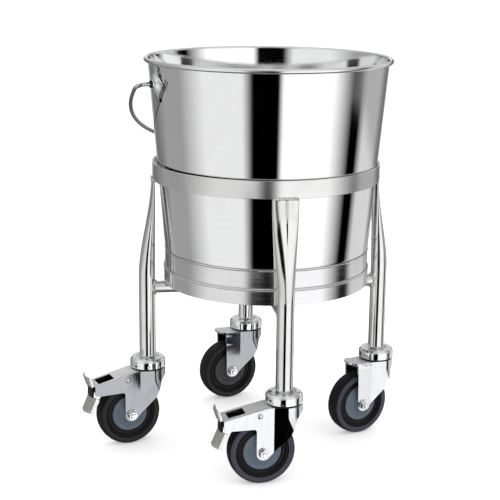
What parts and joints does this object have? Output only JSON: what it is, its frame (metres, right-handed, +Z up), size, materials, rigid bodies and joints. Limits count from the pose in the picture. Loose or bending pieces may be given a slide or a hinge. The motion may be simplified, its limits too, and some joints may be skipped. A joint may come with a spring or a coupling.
{
  "type": "bucket and wheeled stand",
  "caption": "Stainless steel bucket with wire bail, standing in a tubular four-legged ring stand on swivel casters with brakes.",
  "frame": {"origin": "middle of the footprint on the floor (centre of the bounding box's bottom face), casters as parked", "axes": "+Z up, +X towards the right leg and -Y towards the front leg; the legs stand on the stand's own X and Y axes and the casters trail towards -X"},
  "size_m": [0.5008, 0.4246, 0.6009],
  "materials": {
    "bucket_steel": "satin-polished stainless sheet, fine grain round the bucket",
    "tube_steel": "polished stainless tube, flat bar and wire, slightly dulled at the welds",
    "chrome": "bright chrome on pressed steel",
    "plated_steel": "zinc or nickel plated fasteners and levers, semi-bright",
    "tyre": "dark grey rubber with a slight violet sheen",
    "hub_plastic": "moulded blue-grey and black plastic",
    "black_rubber": "matt black"
  },
  "bodies": {
    "stand": {"support_ring": "tube_steel", "leg_front": "tube_steel", "leg_right": "tube_steel", "leg_back": "tube_steel", "leg_left": "tube_steel", "cross_brace_long": "tube_steel", "cross_brace_front": "tube_steel", "cross_brace_back": "tube_steel", "swivel_cap_front": "chrome", "swivel_cap_right": "chrome", "swivel_cap_back": "chrome", "swivel_cap_left": "chrome", "caster_stem_front": "plated_steel", "caster_stem_right": "plated_steel", "caster_stem_back": "plated_steel", "caster_stem_left": "plated_steel", "stem_expander_front": "black_rubber", "stem_expander_right": "black_rubber", "stem_expander_back": "black_rubber", "stem_expander_left": "black_rubber"},
    "bucket": {"bucket_shell": "bucket_steel", "bucket_pan": "bucket_steel", "foot_ring": "bucket_steel", "rim_wire": "plated_steel", "ear_left": "bucket_steel", "ear_right": "bucket_steel"},
    "bail": {"bail_wire": "tube_steel"},
    "caster_front": {"swivel_seal_front": "black_rubber", "fork_front": "chrome", "axle_bush_front": "plated_steel", "axle_bolt_front": "plated_steel", "axle_nut_front": "plated_steel", "brake_pin_front": "plated_steel"},
    "caster_right": {"swivel_seal_right": "black_rubber", "fork_right": "chrome", "axle_bush_right": "plated_steel", "axle_bolt_right": "plated_steel", "axle_nut_right": "plated_steel"},
    "caster_back": {"swivel_seal_back": "black_rubber", "fork_back": "chrome", "axle_bush_back": "plated_steel", "axle_bolt_back": "plated_steel", "axle_nut_back": "plated_steel"},
    "caster_left": {"swivel_seal_left": "black_rubber", "fork_left": "chrome", "axle_bush_left": "plated_steel", "axle_bolt_left": "plated_steel", "axle_nut_left": "plated_steel", "brake_pin_left": "plated_steel"},
    "wheel_front": {"tyre_front": "tyre", "wheel_hub_front": "hub_plastic"},
    "wheel_right": {"tyre_right": "tyre", "wheel_hub_right": "hub_plastic"},
    "wheel_back": {"tyre_back": "tyre", "wheel_hub_back": "hub_plastic"},
    "wheel_left": {"tyre_left": "tyre", "wheel_hub_left": "hub_plastic"},
    "brake_front": {"brake_pedal_front": "plated_steel"},
    "brake_left": {"brake_pedal_left": "plated_steel"}
  },
  "joints": [
    {"name": "bucket_lift", "type": "slide", "parent": "stand", "child": "bucket", "axis": [0, 0, 1], "range_m": [0, 0.25]},
    {"name": "bail_swing", "type": "hinge", "parent": "bucket", "child": "bail", "pos_m": [0.0417, 0.0016, 0.567], "axis": [0.9563, 0.2924, 0], "range_deg": [0, 247]},
    {"name": "swivel_front", "type": "hinge", "parent": "stand", "child": "caster_front", "pos_m": [0.0397, -0.18177, 0.12], "axis": [0, 0, 1], "continuous": true},
    {"name": "swivel_right", "type": "hinge", "parent": "stand", "child": "caster_right", "pos_m": [0.22307, 0.0016, 0.12], "axis": [0, 0, 1], "continuous": true},
    {"name": "swivel_back", "type": "hinge", "parent": "stand", "child": "caster_back", "pos_m": [0.0397, 0.18496, 0.12], "axis": [0, 0, 1], "continuous": true},
    {"name": "swivel_left", "type": "hinge", "parent": "stand", "child": "caster_left", "pos_m": [-0.14366, 0.0016, 0.12], "axis": [0, 0, 1], "continuous": true},
    {"name": "wheel_front_spin", "type": "hinge", "parent": "caster_front", "child": "wheel_front", "pos_m": [0.00583, -0.18473, 0.05], "axis": [0.0872, -0.9962, 0], "continuous": true},
    {"name": "wheel_right_spin", "type": "hinge", "parent": "caster_right", "child": "wheel_right", "pos_m": [0.19155, -0.01114, 0.05], "axis": [0.3746, -0.9272, 0], "continuous": true},
    {"name": "wheel_back_spin", "type": "hinge", "parent": "caster_back", "child": "wheel_back", "pos_m": [0.00737, 0.17446, 0.05], "axis": [0.309, -0.9511, 0], "continuous": true},
    {"name": "wheel_left_spin", "type": "hinge", "parent": "caster_left", "child": "wheel_left", "pos_m": [-0.17617, -0.00834, 0.05], "axis": [0.2924, -0.9563, 0], "continuous": true},
    {"name": "brake_front_press", "type": "hinge", "parent": "caster_front", "child": "brake_front", "pos_m": [-0.00014, -0.18525, 0.1076], "axis": [0.0872, -0.9962, 0], "range_deg": [0, 6]},
    {"name": "brake_left_press", "type": "hinge", "parent": "caster_left", "child": "brake_left", "pos_m": [-0.18191, -0.0101, 0.1076], "axis": [0.2924, -0.9563, 0], "range_deg": [0, 6]}
  ]
}
